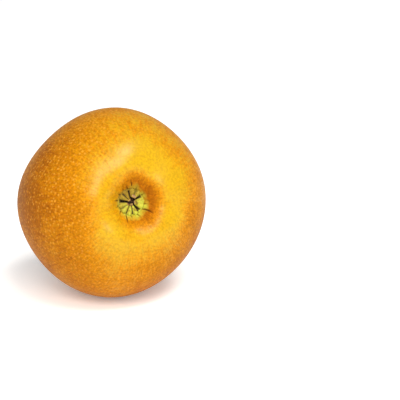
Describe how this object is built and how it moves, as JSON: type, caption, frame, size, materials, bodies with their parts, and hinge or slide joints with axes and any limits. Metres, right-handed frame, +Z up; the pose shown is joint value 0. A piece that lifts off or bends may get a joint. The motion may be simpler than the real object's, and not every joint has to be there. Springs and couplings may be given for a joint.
{
  "type": "apple",
  "caption": "Round golden russet dessert apple lying on its side, with a shallow basin round the open eye and a short stout stalk in a deep cavity.",
  "frame": {"origin": "centre of the small flat spot that the apple rests on", "axes": "+Z up from the resting surface, -Y towards the eye end of the core line, which is tilted up 15.5 degrees, +Y towards the stalk end, +X to the right seen from the eye end"},
  "size_m": [0.0863, 0.0781, 0.0877],
  "materials": {
    "skin": "satin golden skin with orange-brown russet and pale lenticel dots",
    "sepal": "dry, matte green-tan",
    "stamen": "dried, matte brown",
    "stalk": "woody, matte brown"
  },
  "bodies": {
    "root": {"fruit": "skin", "calyx": "sepal", "stamens": "stamen", "stalk": "stalk"}
  },
  "joints": []
}
